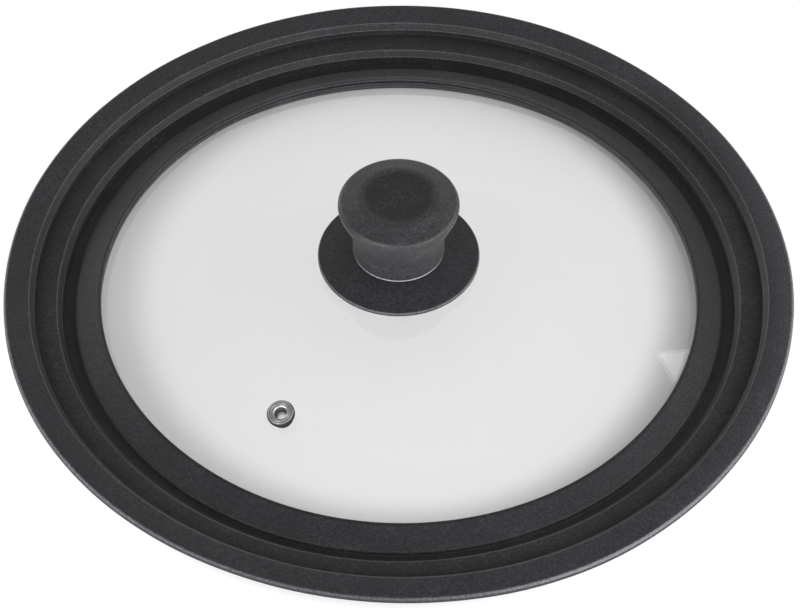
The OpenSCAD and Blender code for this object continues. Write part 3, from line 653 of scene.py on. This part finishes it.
head_under = HEAD_TOP_Z - HEAD_H
a = np.linspace(-np.pi / 2, 0, 10)
round_z = head_under + HEAD_ROUND
head = np.stack([HEAD_R - HEAD_ROUND + HEAD_ROUND * np.cos(a), round_z + HEAD_ROUND * np.sin(a)], -1)
face = np.stack([np.linspace(0, HEAD_R - HEAD_ROUND, 34)[:-1], np.full(33, head_under)], -1)
neck = [(HEAD_R, HEAD_TOP_Z - 0.15), (HEAD_R - 0.15, HEAD_TOP_Z), (SCREW_R + 0.15, HEAD_TOP_Z)]
shank = np.stack([np.full(260, SCREW_R), np.linspace(HEAD_TOP_Z + 0.15, TIP_Z - 0.6, 260)], -1)
tip = [(SCREW_R - 0.6, TIP_Z), (0, TIP_Z)]
screw = turned("pan_head_screw", np.vstack([face, head, neck, shank, tip]), 96, screwed, sharp=50)
dress(screw, steel, "stainless_steel", "screw", "knob_screw")

brass, tree, shader = new_finish("insert_brass", Metallic=1)
place = node(tree, "TexCoord").outputs["Object"]
lathe_marks = node(tree, "TexNoise", {"Vector": place, "Scale": 700, "Detail": 2}).outputs[0]
tone = blend(tree, lathe_marks, (0.5, 0.34, 0.12, 1), (0.68, 0.5, 0.22, 1))
tree.links.new(tone, shader.inputs["Base Color"])
tree.links.new(ramp(tree, lathe_marks, 0, 1, 0.22, 0.45), shader.inputs["Roughness"])

# The pieces that hardly show keep their CAD shapes, with these materials
plain_nodes = {"backing_washer": steel, "spring_washer": steel, "skirt_gasket": gasket_rubber,
               "screw_bush": gasket_rubber, "knob_core": nylon, "thread_insert": brass}
for name, made in plain_nodes.items():
    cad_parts[name].material_slots[0].material = made

# ---- Studio -------------------------------------------------------------------------
# The lid lies on a white table that looks lit from below, in a ring of square lamps: four large ones
# in front and at the right, two small ones behind, and one that shows as a pale corner in the glass.


def vector_maths(tree, operation, *values):
    """The results, Vector and Value, of this operation on vectors or sockets."""
    return node(tree, "VectorMath", dict(enumerate(values)), operation=operation).outputs


table_mesh = bpy.data.meshes.new("table")
table_mesh.from_pydata([(-6, -6, 0), (6, -6, 0), (6, 6, 0), (-6, 6, 0)], [], [(0, 1, 2, 3)])
table = bpy.data.objects.new("table", table_mesh)
bpy.context.collection.objects.link(table)
white, tree, shader = new_finish(
    "white_table", Roughness=0.6, Specular_IOR_Level=0, Base_Color=(0.45, 0.45, 0.45, 1))
glow = node(tree, "Emission", {"Color": (1, 1, 1, 1), "Strength": 1.08})
path = node(tree, "LightPath").outputs
seen = maths(tree, "MAXIMUM", path["Is Camera Ray"], path["Is Glossy Ray"])
seen = maths(tree, "MAXIMUM", seen, path["Is Transmission Ray"])
spot = node(tree, "TexCoord").outputs["Object"]
# Under the glass the glow is painted down to about half, a little less towards the back, and a
# painted shadow of the rim takes most of the rest: its border is a slightly flattened circle. Past
# the rim the table is fully white.
way_out = vector_maths(tree, "LENGTH", spot)["Value"]
shade_spot = vector_maths(tree, "MULTIPLY_ADD", spot, (1, 0.925, 0), (-0.002, -0.0088, 0))["Vector"]
shade_out = vector_maths(tree, "LENGTH", shade_spot)["Value"]
painted_rim_shadow = ramp(tree, shade_out, 0.09, 0.107, interpolation_type="SMOOTHSTEP")
lean = vector_maths(tree, "DOT_PRODUCT", spot, (0.15, -0.5, 0))["Value"]
inner = maths(tree, "ADD", lean, 0.53)
outer = ramp(tree, node(tree, "SeparateXYZ", {0: spot}).outputs["X"], -0.11, 0.11, 0.25, 0.05)
under = node(tree, "Mix", {"Factor": painted_rim_shadow, 2: inner, 3: outer}).outputs[0]
share = maths(tree, "MAXIMUM", under, ramp(tree, way_out, 0.124, 0.14, end=0.92))
share = maths(tree, "MULTIPLY", seen, share)
lit = node(tree, "MixShader", {0: share, 1: shader.outputs[0], 2: glow.outputs[0]})
# From below, the table lets the lid's underside be seen
from_below = node(tree, "NewGeometry").outputs["Backfacing"]
open_air = node(tree, "BsdfTransparent").outputs[0]
both = node(tree, "MixShader", {0: from_below, 1: lit.outputs[0], 2: open_air})
tree.links.new(both.outputs[0], tree.nodes["Material Output"].inputs[0])
table_mesh.materials.append(white)

# The room is a pale band of wall under a darker ceiling, and plain white to the camera
world = bpy.data.worlds.new("studio")
bpy.context.scene.world = world
world.use_nodes = True
tree = world.node_tree
path = node(tree, "LightPath").outputs
height = node(tree, "SeparateXYZ", {0: node(tree, "TexCoord").outputs["Generated"]}).outputs["Z"]
wall = maths(tree, "MULTIPLY", ramp(tree, height, 0.1, 0.4, 0.14, 0.66), ramp(tree, height, 0.5, 0.8, 1, 0))
ceiling = maths(tree, "MULTIPLY", path["Is Glossy Ray"], 0.22)
room = maths(tree, "MAXIMUM", wall, ceiling)
seen = maths(tree, "MAXIMUM", path["Is Camera Ray"], path["Is Transmission Ray"])
strength = node(tree, "Mix", {"Factor": seen, 2: room, 3: 1}).outputs[0]
background = tree.nodes["Background"]
background.inputs["Color"].default_value = (1, 1, 1, 1)
tree.links.new(strength, background.inputs["Strength"])


def soft_box(name, place, size, power):
    """A square lamp that faces the middle of the lid."""
    lamp = bpy.data.lights.new(name, "AREA")
    lamp.size, lamp.energy = size, power
    made = bpy.data.objects.new(name, lamp)
    made.location = place
    made.rotation_euler = (Vector((0, 0, 0.02)) - made.location).to_track_quat("-Z", "Y").to_euler()
    bpy.context.collection.objects.link(made)


soft_box("front_left_box", (-1.143, -1.143, 0.545), 1.2, 12.8)
soft_box("front_box", (-0.553, -1.519, 0.545), 1.2, 8)
soft_box("front_right_box", (1.143, -1.143, 0.545), 1.2, 15)
soft_box("right_box", (1.617, 0, 0.545), 1.2, 10)
soft_box("back_left_box", (-1.176, 1.176, 0.373), 0.5, 4.2)
soft_box("back_right_box", (1.176, 1.176, 0.373), 0.5, 0.8)
soft_box("window_box", (1.178, 0.706, 1.028), 0.26, 0.43)

# A long lens looks down on the lid, 48 degrees below the level, from 1.8 m in front
camera = bpy.data.cameras.new("camera")
camera.lens, camera.sensor_width, camera.clip_start = 216.7, 36, 0.01
camera.shift_x, camera.shift_y = 0.00165, -0.0225
shot = bpy.data.objects.new("camera", camera)
shot.location, shot.rotation_euler = (0, -1.1974, 1.3604), (np.radians(41.7), 0, 0)
bpy.context.collection.objects.link(shot)
bpy.context.scene.camera = shot
bpy.context.scene.view_settings.view_transform = "Standard"
